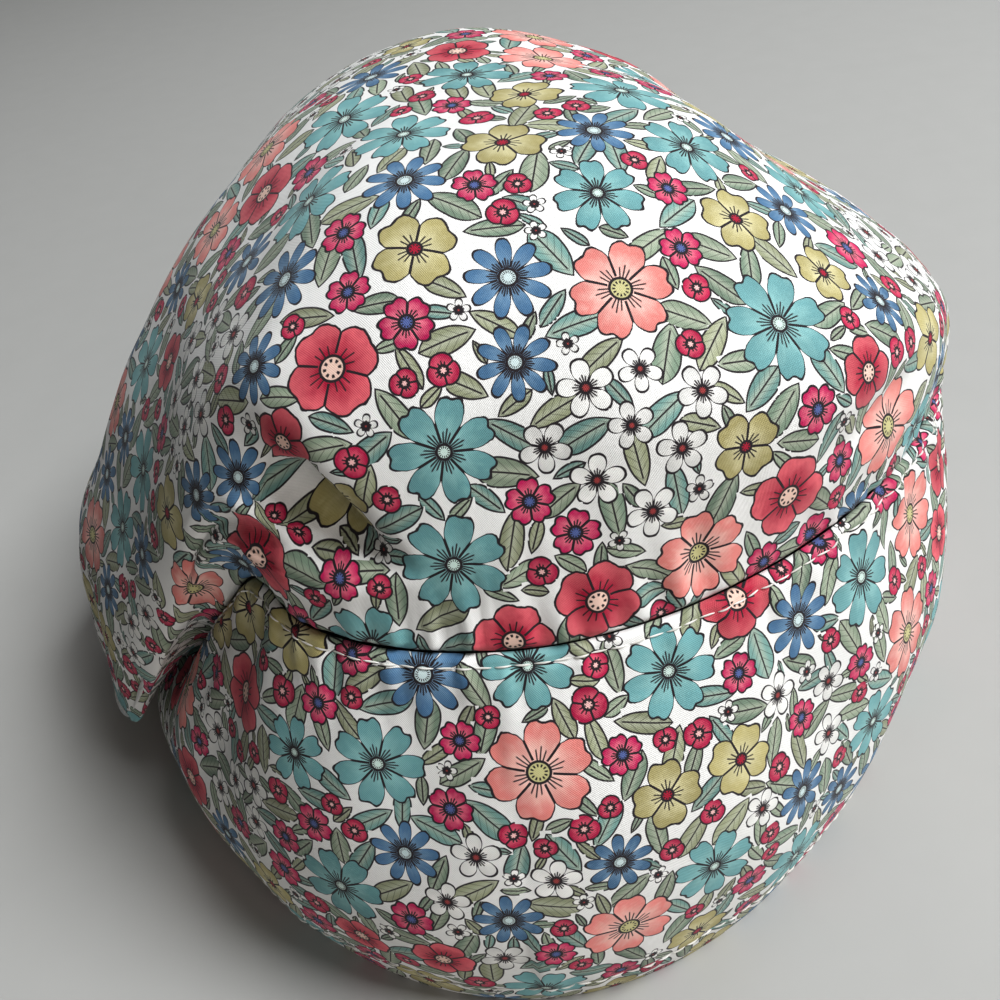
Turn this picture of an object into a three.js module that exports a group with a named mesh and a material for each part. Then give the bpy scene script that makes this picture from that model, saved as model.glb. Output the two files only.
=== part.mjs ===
import * as THREE from 'three';

// A soft printed cotton cap: a slouching crown sewn to a deep plain band.
// Millimetres, +Z up, the front towards -Y, standing on its rim at z = 0.
// Angles run round the cap from the front, with the wearer's left side, +X, at 90 degrees.

// The rim is an oval, a little narrower at the front than at the back.
const RIM = { halfWidth: 91, halfDepth: 97, frontNarrowing: 0.13 };
// The band swells by its belly half way up, and its hem is the cloth turned up once inside.
const BAND = { belly: 8, hemHeight: 12, hemWall: 2.6 };
const WALL = 1.5;
// Space between the two cloths along the seam.
const SEAM_GAP = 0.3;
// Highest point of the crown, and how far out from it the top stays level, as a share of the rim.
const APEX = { x: 5, y: 6, z: 140, level: 0.3 };

// How many facets go round the cap and up each cloth.
const FACETS = { around: 80, crownRows: 24, bandRows: 8 };

// One row for each section round the cap. Heights named "up" are measured from the seam and
// distances named "out" from the rim's oval. The crown's section leaves the seam through the lip,
// falls or climbs through the near and low points, turns up to the side point and rolls over the
// shoulder, whose distance from the middle is a share of the rim's.
const SECTION_COLUMNS = ['angle', 'seam', 'inset', 'lipOut', 'lipUp', 'nearOut', 'nearUp',
  'lowOut', 'lowUp', 'sideOut', 'sideUp', 'shoulder', 'shoulderUp'];
const SECTIONS = table(SECTION_COLUMNS, [
  [0, 80, 17, -3, 8, -21, 15, -26, 26, -30, 38, 0.53, 56],
  [30, 79, 13, -2, 7, -15, 14, -17, 24, -19, 36, 0.55, 56],
  [60, 77, 4, 0, 6, -3, 11, -3, 20, -5, 31, 0.56, 55],
  [90, 70, -4, 1, 6, 5, 6, 5, 14, 1, 25, 0.54, 53],
  [120, 52, -2, 3, 6, 7, 8, 9, 18, 4, 35, 0.53, 68],
  [150, 38, 2, 4, 6, 12, 10, 17, 24, 15, 46, 0.62, 88],
  [180, 32, 5, 5, 6, 15, 8, 22, 24, 24, 50, 0.72, 102],
  [210, 30, 6, 5, 6, 15, 3, 25, 14, 24, 46, 0.68, 102],
  [240, 28, 7, 6, 5, 14, -2, 26, 0, 20, 34, 0.60, 95],
  [268, 28, 9, 6, 2, 12, -9, 22, -18, 16, 26, 0.58, 96],
  [289, 35, 13, 4, 2, 8, -10, 12, -26, 7, 24, 0.56, 93],
  [304, 58, 15, 0, 6, -9, 5, -8, 6, -12, 32, 0.53, 72],
  [317, 79, 20, 0, 8, -15, 11, -16, 18, -20, 28, 0.54, 55],
  [330, 80, 17, 0, 8, -15, 12, -16, 22, -17, 35, 0.56, 56],
]);

// One row for each crease or dent pressed into a cloth. It runs from one angle and climb to
// another; climb is a share of the way from the cloth's lower edge to its upper one.
const CREASE_COLUMNS = ['angle', 'climb', 'endAngle', 'endClimb', 'depth', 'halfWidth'];
const CROWN_CREASES = table(CREASE_COLUMNS, [
  [341, 0.27, 326, 0.62, 8, 8],
  [336, 0.26, 306, 0.30, 4, 9],
  [52, 0.26, 66, 0.50, 2.5, 10],
  [112, 0.34, 100, 0.60, 4, 10],
  [150, 0.34, 158, 0.66, 5, 11],
  [196, 0.36, 186, 0.68, 5, 11],
  [226, 0.36, 222, 0.72, 6, 11],
  [256, 0.46, 262, 0.74, 5, 10],
]);
const BAND_CREASES = table(CREASE_COLUMNS, [
  [318, 0.92, 312, 0.40, 3, 10],
  [350, 0.85, 342, 0.45, 1.5, 12],
  [38, 0.90, 48, 0.40, 1.5, 12],
  [98, 0.95, 92, 0.35, 2.5, 10],
  [140, 0.80, 144, 0.40, 1.5, 10],
]);
// Millimetres that one degree or one whole climb spans, taken alike on every crease.
const CREASE_SPAN = { degree: 1.5, climb: 150 };

// The crown's section is a smooth curve drawn by this many points, in pieces of equal length.
const SECTION_POINTS = 8;
const CURVE_DEGREE = 3;
const PROBE = 1e-4;

function table(columns, rows) {
  return rows.map((row) => Object.fromEntries(columns.map((name, i) => [name, row[i]])));
}

// One row of the sections by its number, counted on round the cap.
function sectionRow(number) {
  const turns = Math.floor(number / SECTIONS.length);
  const row = SECTIONS[number - turns * SECTIONS.length];
  return { ...row, angle: row.angle + turns * 360 };
}

// The value of one column at any angle, carried smoothly round from row to row.
function around(degrees, name) {
  const angle = THREE.MathUtils.euclideanModulo(degrees, 360);
  const first = SECTIONS.findLastIndex((row) => row.angle <= angle);
  const [a, b, c, d] = [-1, 0, 1, 2].map((k) => sectionRow(first + k));
  const span = c.angle - b.angle;
  const f = (angle - b.angle) / span;
  const slopeStart = (c[name] - a[name]) / (c.angle - a.angle) * span;
  const slopeEnd = (d[name] - b[name]) / (d.angle - b.angle) * span;
  return b[name] + slopeStart * f
    + (3 * (c[name] - b[name]) - 2 * slopeStart - slopeEnd) * f * f
    + (2 * (b[name] - c[name]) + slopeStart + slopeEnd) * f * f * f;
}

// A point in plan: a share of the rim's oval, then a distance straight out.
function inPlan(degrees, share, out, z) {
  const angle = THREE.MathUtils.degToRad(degrees);
  const [s, c] = [Math.sin(angle), Math.cos(angle)];
  const width = RIM.halfWidth * (1 - RIM.frontNarrowing * c);
  return new THREE.Vector3(s * (width * share + out), -c * (RIM.halfDepth * share + out), z);
}

// How much each of the section's points weighs at climb s: B-spline weights, clamped at the ends.
function sectionWeights(s) {
  const pieces = SECTION_POINTS - CURVE_DEGREE;
  const knots = Array.from({ length: SECTION_POINTS + CURVE_DEGREE + 1 },
    (_, i) => THREE.MathUtils.clamp(i - CURVE_DEGREE, 0, pieces));
  const x = Math.min(s * pieces, pieces - PROBE * PROBE);
  let weights = knots.slice(1).map((end, i) => (x >= knots[i] && x < end ? 1 : 0));
  for (let degree = 1; degree <= CURVE_DEGREE; degree++) {
    weights = weights.slice(1).map((next, i) => {
      const rise = knots[i + degree] - knots[i];
      const fall = knots[i + degree + 1] - knots[i + 1];
      return (rise > 0 ? (x - knots[i]) / rise * weights[i] : 0)
        + (fall > 0 ? (knots[i + degree + 1] - x) / fall * next : 0);
    });
  }
  return weights;
}

// The band's outer face before its creases: straight up the seam's lean, with a swelling belly.
function smoothBand(degrees, t) {
  const out = BAND.belly * Math.sin(Math.PI * t) - around(degrees, 'inset') * Math.pow(t, 1.5);
  return inPlan(degrees, 1, out, around(degrees, 'seam') * t);
}

// The crown's outer face before its creases.
function smoothCrown(degrees, s) {
  const row = (name) => around(degrees, name);
  const [seam, inset] = [row('seam'), row('inset')];
  const shoulder = row('shoulder');
  const points = [
    inPlan(degrees, 1, -inset, seam),
    inPlan(degrees, 1, row('lipOut') - inset, seam + row('lipUp')),
    inPlan(degrees, 1, row('nearOut'), seam + row('nearUp')),
    inPlan(degrees, 1, row('lowOut'), seam + row('lowUp')),
    inPlan(degrees, 1, row('sideOut'), seam + row('sideUp')),
    inPlan(degrees, shoulder, 0, seam + row('shoulderUp')).add(
      new THREE.Vector3(APEX.x / 2, APEX.y / 2, 0)),
    inPlan(degrees, APEX.level, 0, APEX.z).add(new THREE.Vector3(APEX.x, APEX.y, 0)),
    new THREE.Vector3(APEX.x, APEX.y, APEX.z),
  ];
  const weights = sectionWeights(s);
  return points.reduce((sum, point, i) => sum.addScaledVector(point, weights[i]), new THREE.Vector3());
}

// The outward direction of a face, from its slopes along the angle and the climb.
function outward(face, degrees, climb) {
  const [low, high] = [Math.max(climb - PROBE, 0), Math.min(climb + PROBE, 1)];
  const alongAngle = face(degrees + 0.5, climb).sub(face(degrees - 0.5, climb));
  const alongClimb = face(degrees, high).sub(face(degrees, low));
  const normal = alongAngle.cross(alongClimb);
  return normal.lengthSq() > 0 ? normal.normalize() : new THREE.Vector3(0, 0, 1);
}

// How deep the creases press at one place: each is a trough that fades at its ends and sides.
function creaseDepth(creases, degrees, climb) {
  return creases.reduce((sum, crease) => {
    const turn = THREE.MathUtils.euclideanModulo(degrees - crease.angle + 180, 360) - 180;
    const [x, y] = [turn * CREASE_SPAN.degree, (climb - crease.climb) * CREASE_SPAN.climb];
    const runX = (crease.endAngle - crease.angle) * CREASE_SPAN.degree;
    const runY = (crease.endClimb - crease.climb) * CREASE_SPAN.climb;
    const length = Math.hypot(runX, runY);
    const along = (x * runX + y * runY) / (length * length);
    const across = (x * runY - y * runX) / length / crease.halfWidth;
    const fade = Math.max(0, 1 - ((along - 0.4) / 0.75) ** 2) ** 1.5;
    return sum + crease.depth * fade * Math.exp(-across * across);
  }, 0);
}

// A cloth's outer face with its creases, which fade out at both of its edges.
function creased(face, creases) {
  return (degrees, climb) => {
    const edge = Math.sin(Math.PI * climb) ** 0.5;
    const depth = creaseDepth(creases, degrees, climb) * edge;
    return face(degrees, climb).addScaledVector(outward(face, degrees, climb), -depth);
  };
}

const bandFace = creased(smoothBand, BAND_CREASES);
const crownFace = creased(smoothCrown, CROWN_CREASES);

// A closed wall from rings of points: each ring joins the next, and the last joins the first or
// both end in a single point at the top.
function wallMesh(rings, material, name) {
  const positions = [];
  const index = [];
  const starts = rings.map((ring) => {
    const start = positions.length / 3;
    ring.forEach((point) => positions.push(point.x, point.y, point.z));
    return start;
  });
  rings.forEach((ring, r) => {
    const nextRing = (r + 1) % rings.length;
    const [a, b] = [starts[r], starts[nextRing]];
    const [single, nextSingle] = [ring.length === 1, rings[nextRing].length === 1];
    if (single && nextSingle) return;
    for (let i = 0; i < FACETS.around; i++) {
      const j = (i + 1) % FACETS.around;
      if (!single) index.push(a + i, a + j, nextSingle ? b : b + i);
      if (!nextSingle) index.push(single ? a : a + j, b + j, b + i);
    }
  });
  const geometry = new THREE.BufferGeometry();
  geometry.setAttribute('position', new THREE.Float32BufferAttribute(positions, 3));
  geometry.setIndex(index);
  geometry.computeVertexNormals();
  const mesh = new THREE.Mesh(geometry, material);
  mesh.name = name;
  return mesh;
}

// A ring of points round the cap, one for each facet, made by a function of the angle.
function ring(pointAt) {
  return Array.from({ length: FACETS.around }, (_, i) => pointAt(i * 360 / FACETS.around));
}

// Both cloths meet at the seam across the band's own outward direction, half the gap from it.
function seamEdge(degrees, side, depth) {
  const across = outward(smoothBand, degrees, 1);
  const along = smoothBand(degrees, 1).sub(smoothBand(degrees, 1 - PROBE)).normalize();
  return smoothBand(degrees, 1).addScaledVector(along, side * SEAM_GAP / 2)
    .addScaledVector(across, -depth);
}

// The band: up the outer face, over the seam edge, down the inner face and round the hem.
function makeBand() {
  const hemShare = (degrees) => BAND.hemHeight / around(degrees, 'seam');
  const rows = FACETS.bandRows;
  // The first row ends at the hem's top, and the others share the rest of the height.
  const climbAt = (degrees, r) => {
    if (r < 2) return r * hemShare(degrees);
    return hemShare(degrees) + (1 - hemShare(degrees)) * (r - 1) / (rows - 1);
  };
  const outer = Array.from({ length: rows }, (_, r) => ring((d) => bandFace(d, climbAt(d, r))));
  const inside = (d, climb, wall) => bandFace(d, climb).addScaledVector(outward(bandFace, d, climb), -wall);
  const inner = Array.from({ length: rows - 1 },
    (_, r) => ring((d) => inside(d, climbAt(d, rows - 1 - r), WALL)));
  const hemTop = ring((d) => inside(d, hemShare(d), BAND.hemWall));
  const hemBottom = ring((d) => inside(d, 0, BAND.hemWall).setZ(0));
  const material = new THREE.MeshStandardMaterial({ color: 0xd9cfc8, roughness: 0.9, metalness: 0 });
  return wallMesh([...outer, ring((d) => seamEdge(d, -1, 0)), ring((d) => seamEdge(d, -1, WALL)),
    ...inner, hemTop, hemBottom], material, 'band');
}

// The crown: up the outer face to the apex, then down the inner face to the seam edge.
function makeCrown() {
  const rows = FACETS.crownRows;
  const climbs = Array.from({ length: rows - 1 }, (_, r) => (r + 1) / rows);
  const inside = (d, climb) => crownFace(d, climb).addScaledVector(outward(crownFace, d, climb), -WALL);
  const outer = climbs.map((climb) => ring((d) => crownFace(d, climb)));
  const inner = climbs.map((climb) => ring((d) => inside(d, climb))).reverse();
  const top = [new THREE.Vector3(APEX.x, APEX.y, APEX.z)];
  const topInside = [new THREE.Vector3(APEX.x, APEX.y, APEX.z - WALL)];
  const material = new THREE.MeshStandardMaterial({ color: 0xe6e2e0, roughness: 0.9, metalness: 0 });
  return wallMesh([ring((d) => seamEdge(d, 1, 0)), ...outer, top, topInside, ...inner,
    ring((d) => seamEdge(d, 1, WALL))], material, 'crown');
}

// The finished cap stands with the middle of its own box over the origin.
function centred(group) {
  const box = new THREE.Box3().setFromObject(group);
  const middle = box.getCenter(new THREE.Vector3());
  group.position.set(-middle.x, -middle.y, -box.min.z);
  return group;
}

const cap = new THREE.Group();
cap.add(makeBand(), makeCrown());

export default centred(cap);
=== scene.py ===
"""A soft slouching cap of printed cotton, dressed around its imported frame.

The crown and the band are worked out again from the cap's own table of sections, on much finer grids than the
solids, with the seam's puckers and the cloth's soft wrinkles added. A small flower print is laid out over both by a
seeded search and drawn by the cloth's material. Sizes in the tables are millimetres, and meshes are in metres.
"""
import logging
import math
from dataclasses import dataclass
from enum import Enum
from typing import Sequence, Union

import bpy
import numpy as np
from mathutils import Matrix, Vector


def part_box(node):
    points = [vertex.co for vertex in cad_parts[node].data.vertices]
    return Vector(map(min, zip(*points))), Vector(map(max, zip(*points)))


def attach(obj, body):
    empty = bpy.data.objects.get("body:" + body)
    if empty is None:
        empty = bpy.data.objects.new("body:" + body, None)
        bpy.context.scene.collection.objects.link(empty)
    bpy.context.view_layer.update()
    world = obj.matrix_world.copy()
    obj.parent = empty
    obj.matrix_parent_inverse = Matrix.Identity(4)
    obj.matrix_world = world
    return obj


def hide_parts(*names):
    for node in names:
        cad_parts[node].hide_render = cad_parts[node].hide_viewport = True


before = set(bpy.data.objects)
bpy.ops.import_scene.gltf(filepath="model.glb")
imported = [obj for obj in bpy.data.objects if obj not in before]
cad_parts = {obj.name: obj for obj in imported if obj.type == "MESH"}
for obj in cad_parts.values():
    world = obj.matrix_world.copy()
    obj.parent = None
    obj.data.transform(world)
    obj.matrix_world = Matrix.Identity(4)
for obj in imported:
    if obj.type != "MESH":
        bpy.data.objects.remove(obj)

Array = np.ndarray
Colour = tuple[float, float, float]
MM = 0.001
FLAT_UNIT = 100.0  # millimetres of flat cloth in one unit of its UV map
TINY = 1e-9
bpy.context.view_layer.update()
LOG = logging.getLogger("cap")

SECTION_COLUMNS = ("angle", "seam", "inset", "lip_out", "lip_up", "near_out", "near_up",
                   "low_out", "low_up", "side_out", "side_up", "shoulder", "shoulder_up")
SECTIONS = np.array([
    [0, 80, 17, -3, 8, -21, 15, -26, 26, -30, 38, 0.53, 56],
    [30, 79, 13, -2, 7, -15, 14, -17, 24, -19, 36, 0.55, 56],
    [60, 77, 4, 0, 6, -3, 11, -3, 20, -5, 31, 0.56, 55],
    [90, 70, -4, 1, 6, 5, 6, 5, 14, 1, 25, 0.54, 53],
    [120, 52, -2, 3, 6, 7, 8, 9, 18, 4, 35, 0.53, 68],
    [150, 38, 2, 4, 6, 12, 10, 17, 24, 15, 46, 0.62, 88],
    [180, 32, 5, 5, 6, 15, 8, 22, 24, 24, 50, 0.72, 102],
    [210, 30, 6, 5, 6, 15, 3, 25, 14, 24, 46, 0.68, 102],
    [240, 28, 7, 6, 5, 14, -2, 26, 0, 20, 34, 0.60, 95],
    [268, 28, 9, 6, 2, 12, -9, 22, -18, 16, 26, 0.58, 96],
    [289, 35, 13, 4, 2, 8, -10, 12, -26, 7, 24, 0.56, 93],
    [304, 58, 15, 0, 6, -9, 5, -8, 6, -12, 32, 0.53, 72],
    [317, 79, 20, 0, 8, -15, 11, -16, 18, -20, 28, 0.54, 55],
    [330, 80, 17, 0, 8, -15, 12, -16, 22, -17, 35, 0.56, 56],
])


@dataclass(frozen=True)
class Crease:
    """A trough pressed into a cloth from one angle and climb to another, in degrees, shares and millimetres."""

    angle: float
    climb: float
    end_angle: float
    end_climb: float
    depth: float
    half_width: float


CROWN_CREASES = (
    Crease(341, 0.27, 326, 0.62, 8, 8), Crease(336, 0.26, 306, 0.30, 4, 9),
    Crease(52, 0.26, 66, 0.50, 2.5, 10), Crease(112, 0.34, 100, 0.60, 4, 10),
    Crease(150, 0.34, 158, 0.66, 5, 11), Crease(196, 0.36, 186, 0.68, 5, 11),
    Crease(226, 0.36, 222, 0.72, 6, 11), Crease(256, 0.46, 262, 0.74, 5, 10),
)
CROWN_FINE_CREASES = (
    Crease(331, 0.38, 320, 0.60, 3.0, 12.0), Crease(339, 0.31, 334, 0.60, 1.5, 3.4),
    Crease(335, 0.34, 326, 0.58, 1.2, 3.4), Crease(344, 0.30, 341, 0.46, 0.9, 3.0),
    Crease(345, 0.23, 333, 0.50, 2.2, 2.6), Crease(336, 0.25, 324, 0.46, 1.8, 2.8),
    Crease(350, 0.19, 344, 0.33, 1.1, 2.6), Crease(334, 0.19, 316, 0.22, 1.3, 2.4),
    Crease(340, 0.16, 326, 0.16, 0.9, 2.2), Crease(327, 0.30, 314, 0.40, 1.4, 3.4),
    Crease(4, 0.08, 8, 0.22, 0.5, 2.8), Crease(24, 0.08, 28, 0.24, 0.6, 2.8),
    Crease(60, 0.05, 66, 0.22, 0.8, 2.6), Crease(74, 0.05, 84, 0.26, 1.0, 2.8),
    Crease(88, 0.05, 98, 0.24, 0.8, 2.8), Crease(130, 0.06, 136, 0.30, 1.0, 3.0),
    Crease(170, 0.06, 172, 0.30, 1.0, 3.0), Crease(205, 0.06, 208, 0.30, 1.0, 3.0),
    Crease(240, 0.08, 244, 0.34, 1.2, 3.2), Crease(276, 0.30, 284, 0.66, 2.0, 5.0),
    Crease(296, 0.26, 292, 0.56, 1.6, 4.0), Crease(268, 0.24, 270, 0.52, 1.4, 4.5),
)
BAND_CREASES = (
    Crease(318, 0.92, 312, 0.40, 3, 10), Crease(350, 0.85, 342, 0.45, 1.5, 12),
    Crease(38, 0.90, 48, 0.40, 1.5, 12), Crease(98, 0.95, 92, 0.35, 2.5, 10),
    Crease(140, 0.80, 144, 0.40, 1.5, 10),
)
BAND_FINE_CREASES = (
    Crease(322, 0.94, 318, 0.74, 1.0, 2.4), Crease(330, 0.95, 330, 0.80, 0.7, 2.2),
    Crease(312, 0.93, 306, 0.66, 1.1, 2.6), Crease(66, 0.95, 64, 0.76, 0.8, 2.4),
    Crease(80, 0.95, 84, 0.72, 1.0, 2.6), Crease(56, 0.96, 58, 0.84, 0.7, 2.2),
    Crease(6, 0.12, 12, 0.30, 0.6, 3.0), Crease(338, 0.97, 337, 0.88, 0.6, 2.0),
)


def across(points: Array) -> Array:
    """Outward directions of a closed grid of points.

    Formula: the cross product of the step to the next column and the step to the next row, made one long.

    Args:
        points: Grid of shape (columns, rows, 3), whose columns run all the way round.

    Returns:
        One unit vector for each point; where the grid shrinks to a pole it points up.
    """
    round_step = np.roll(points, -1, axis=0) - np.roll(points, 1, axis=0)
    climb_step = np.gradient(points, axis=1)
    normal = np.cross(round_step, climb_step)
    length = np.linalg.norm(normal, axis=-1, keepdims=True)
    return np.where(length > TINY, normal / np.maximum(length, TINY), np.array([0.0, 0.0, 1.0]))


def sharpness(points: Array, spread: int = 1) -> Array:
    """How sharply a closed grid turns at each point: 0 where it is flat, up to 2 where it folds back.

    Formula: one less the cosine of the turn to a neighbour, the largest found beside the point.

    Args:
        points: Grid of shape (columns, rows, 3), whose columns run all the way round.
        spread: How many points further each value is carried.

    Returns:
        One value for each point.
    """
    normal = across(points)
    bend = np.zeros(points.shape[:2])
    for axis in (0, 1):
        turn = 1 - (normal * np.roll(normal, 1, axis=axis)).sum(axis=-1)
        bend = np.maximum(bend, np.maximum(turn, np.roll(turn, -1, axis=axis)))
    for _ in range(spread):
        for axis in (0, 1):
            bend = np.maximum(bend, np.maximum(np.roll(bend, 1, axis=axis), np.roll(bend, -1, axis=axis)))
    return bend


def relax(points: Array, rounds: int = 28, from_bend: float = 0.16, gain: float = 1.5) -> Array:
    """Ease a closed grid where creases have folded it over itself.

    Formula: each point moves towards the mean of its four neighbours by a share that grows, from 0 to a half,
    with how sharply the surface turns beside it. The first row and the last two stay where they are.

    Args:
        points: Grid of shape (columns, rows, 3), whose columns run all the way round.
        rounds: How many times the points move.
        from_bend: Sharpness at which they start to move.
        gain: How fast the share grows with the sharpness above that.

    Returns:
        The eased grid.
    """
    for _ in range(rounds):
        share = np.clip((sharpness(points) - from_bend) * gain, 0, 0.5)
        share[:, 0] = share[:, -2:] = 0
        mean = sum(np.roll(points, step, axis=axis) for axis in (0, 1) for step in (1, -1)) / 4
        points = points + share[..., None] * (mean - points)
    return points


def run_length(points: Array, axis: int) -> Array:
    """Length walked along one axis of a grid, from its first point: the running sum of the steps' lengths."""
    steps = np.linalg.norm(np.diff(points, axis=axis), axis=-1)
    start = np.zeros_like(np.take(steps, [0], axis=axis))
    return np.concatenate([start, np.cumsum(steps, axis=axis)], axis=axis)


def bell(distance: Array, width: float, power: int = 2) -> Array:
    """A bell, 1 at distance 0: e to the power of less the distance over the width, itself to a power."""
    return np.exp(-((distance / width) ** power))


@dataclass(frozen=True)
class Ripple:
    """Soft irregular waves over a flat cloth.

    wavelength is the shortest and the longest wave and height their usual height, in millimetres; count is how
    many sines are added and seed that of their directions and starts. The waves see only the squeeze's share
    of the second flat coordinate, so they run long that way, and they die out over reach from an edge.
    """

    wavelength: tuple[float, float]
    count: int
    seed: int
    height: float
    squeeze: float = 1.0
    reach: float = math.inf

    def over(self, u: Array, v: Array, edge: Union[float, Array] = 0.0) -> Array:
        """Height of the waves at each place.

        Formula: the sum, over the root of their count, of sines that run in seeded directions with seeded
        wavelengths and starts, times e to the power of less the distance from the edge over the reach.

        Args:
            u: First flat coordinate, in millimetres.
            v: Second flat coordinate.
            edge: Distance from the edge.

        Returns:
            The height in millimetres.
        """
        rng = np.random.default_rng(self.seed)
        total = np.zeros_like(u)
        for angle, length, start in zip(rng.uniform(0, math.tau, self.count),
                                        rng.uniform(*self.wavelength, self.count),
                                        rng.uniform(0, math.tau, self.count)):
            total += np.sin((u * math.cos(angle) + v * self.squeeze * math.sin(angle)) * math.tau / length + start)
        return total / math.sqrt(self.count) * np.exp(-edge / self.reach) * self.height


@dataclass(frozen=True)
class CapForm:
    """The cap's main form: an oval rim, a leaning band and a crown drawn by one section for each angle."""

    half_width: float = 91.0
    half_depth: float = 97.0
    front_narrowing: float = 0.13
    belly: float = 8.0
    apex: tuple[float, float, float] = (5.0, 6.0, 140.0)
    level: float = 0.3
    degree_span: float = 1.5  # millimetres to a degree, for creases and puckers
    climb_span: float = 150.0  # millimetres from the seam to the apex
    crease_peak: float = 0.4
    crease_run: float = 0.75

    def around(self, degrees: Array, name: str) -> Array:
        """One column of the sections at any angle: a smooth cubic through the rows on either side."""
        values, angles, count = SECTIONS[:, SECTION_COLUMNS.index(name)], SECTIONS[:, 0], len(SECTIONS)
        angle = degrees % 360
        first = np.searchsorted(angles, angle, side="right") - 1
        (ta, a), (tb, b), (tc, c), (td, d) = (
            (angles[(first + k) % count] + (first + k) // count * 360, values[(first + k) % count])
            for k in (-1, 0, 1, 2))
        span = tc - tb
        f = (angle - tb) / span
        start, end = (c - a) / (tc - ta) * span, (d - b) / (td - tb) * span
        return b + start * f + (3 * (c - b) - 2 * start - end) * f**2 + (2 * (b - c) + start + end) * f**3

    def in_plan(self, degrees: Array, share: Union[float, Array], out: Union[float, Array], z: Array) -> Array:
        """A point at a share of the rim's oval and a distance straight out from there, at height z."""
        s, c = np.sin(np.radians(degrees)), np.cos(np.radians(degrees))
        width = self.half_width * (1 - self.front_narrowing * c)
        return np.stack([s * (width * share + out), -c * (self.half_depth * share + out), z + 0 * degrees], -1)

    def band(self, degrees: Array, climb: Array) -> Array:
        """The band before its creases: a half sine of belly less the inset times the climb to the 1.5."""
        out = self.belly * np.sin(np.pi * climb) - self.around(degrees, "inset") * climb**1.5
        return self.in_plan(degrees, 1.0, out, self.around(degrees, "seam") * climb)

    def crown(self, degrees: Array, climb: Array) -> Array:
        """The crown before its creases: a clamped cubic B-spline through the section's eight points."""
        def row(name: str) -> Array:
            """One column of the sections at this call's angles."""
            return self.around(degrees, name)
        apex = np.array([self.apex[0], self.apex[1], 0.0])
        seam = row("seam")
        points = [
            self.in_plan(degrees, 1.0, -row("inset"), seam),
            self.in_plan(degrees, 1.0, row("lip_out") - row("inset"), seam + row("lip_up")),
            self.in_plan(degrees, 1.0, row("near_out"), seam + row("near_up")),
            self.in_plan(degrees, 1.0, row("low_out"), seam + row("low_up")),
            self.in_plan(degrees, 1.0, row("side_out"), seam + row("side_up")),
            self.in_plan(degrees, row("shoulder"), 0.0, seam + row("shoulder_up")) + apex / 2,
            self.in_plan(degrees, self.level, 0.0, self.apex[2]) + apex,
            self.in_plan(degrees, 0.0, 0.0, self.apex[2]) + apex,
        ]
        weights = self.section_weights(climb, len(points))
        return sum(weight[..., None] * point for weight, point in zip(weights, points))

    @staticmethod
    def section_weights(climb: Array, count: int) -> list[Array]:
        """Clamped cubic B-spline weights of each of count points, by the usual recursion over degrees."""
        degree, pieces = 3, count - 3
        knots = np.clip(np.arange(count + degree + 1) - degree, 0, pieces)
        x = np.minimum(climb * pieces, pieces - 1e-8)
        weights = [((x >= low) & (x < high)).astype(float) for low, high in zip(knots[:-1], knots[1:])]
        for d in range(1, degree + 1):
            weights = [
                (x - knots[i]) / max(knots[i + d] - knots[i], 1) * weights[i]
                + (knots[i + d + 1] - x) / max(knots[i + d + 1] - knots[i + 1], 1) * weights[i + 1]
                for i in range(len(weights) - 1)
            ]
        return weights

    def press(self, creases: Sequence[Crease], degrees: Array, climb: Array) -> Array:
        """How deep the creases press: for each a trough with a bell across it, fading towards both ends."""
        depth = np.zeros_like(degrees)
        for crease in creases:
            turn = (degrees - crease.angle + 180) % 360 - 180
            x, y = turn * self.degree_span, (climb - crease.climb) * self.climb_span
            run_x = (crease.end_angle - crease.angle) * self.degree_span
            run_y = (crease.end_climb - crease.climb) * self.climb_span
            length = math.hypot(run_x, run_y)
            along = (x * run_x + y * run_y) / length**2
            aside = (x * run_y - y * run_x) / length / crease.half_width
            fade = np.maximum(0, 1 - ((along - self.crease_peak) / self.crease_run) ** 2) ** 1.5
            depth += crease.depth * fade * np.exp(-aside**2)
        return depth * np.sqrt(np.maximum(np.sin(np.pi * climb), 0))


class Blossom(Enum):
    """The print's flowers."""

    JASMINE = "jasmine"
    MALLOW = "mallow"
    POPPY = "poppy"
    PRIMROSE = "primrose"
    ASTER = "aster"
    DOGWOOD = "dogwood"
    PINK = "pink"
    BERRY = "berry"
    BUD = "bud"


@dataclass(frozen=True)
class Bloom:
    """One kind of flower: its radii, how much of the cloth it may take, and its petals and colours.

    depth is how far the outline falls between petals, notch how far it dips at a petal's tip and heart the
    heart's radius, all as shares of the flower's radius. A kind that grows in beds stands only there.
    """

    radius: tuple[float, float]
    share: float
    petals: int
    depth: float
    notch: float
    heart: float
    petal: Colour
    throat: Colour
    centre: Colour
    in_beds: bool = False


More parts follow.
